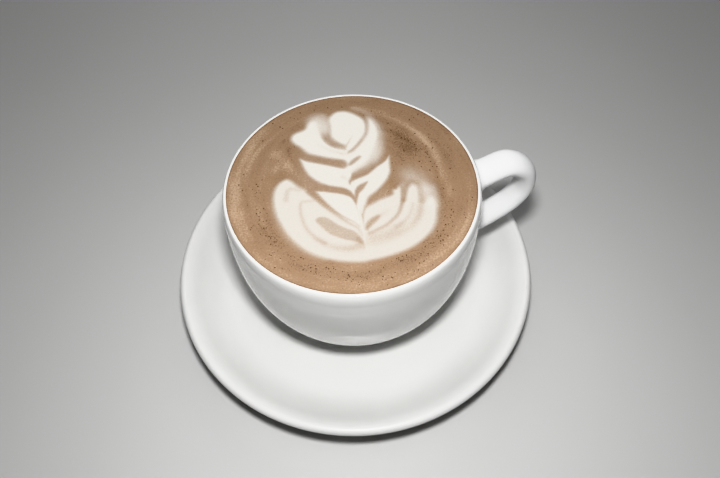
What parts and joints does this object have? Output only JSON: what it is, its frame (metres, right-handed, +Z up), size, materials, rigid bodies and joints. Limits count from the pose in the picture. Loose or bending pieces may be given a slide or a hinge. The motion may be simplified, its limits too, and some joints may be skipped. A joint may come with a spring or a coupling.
{
  "type": "latte",
  "caption": "Latte with a leaf figure of milk foam, filled to the brim of a round porcelain cup with a strap handle, on its saucer.",
  "frame": {"origin": "on the table under the centre of the saucer", "axes": "+Z up, +X from the cup's middle towards its handle"},
  "size_m": [0.155, 0.155, 0.0736],
  "materials": {
    "saucer_glaze": "white porcelain under a clear gloss glaze",
    "cup_glaze": "white porcelain under a clear gloss glaze",
    "crema": "wet brown crema with fine bubbles",
    "milk_foam": "fine wet milk foam, satin"
  },
  "bodies": {
    "root": {"saucer": "saucer_glaze", "cup": "cup_glaze", "coffee": "crema", "milk_figure": "milk_foam"}
  },
  "joints": []
}
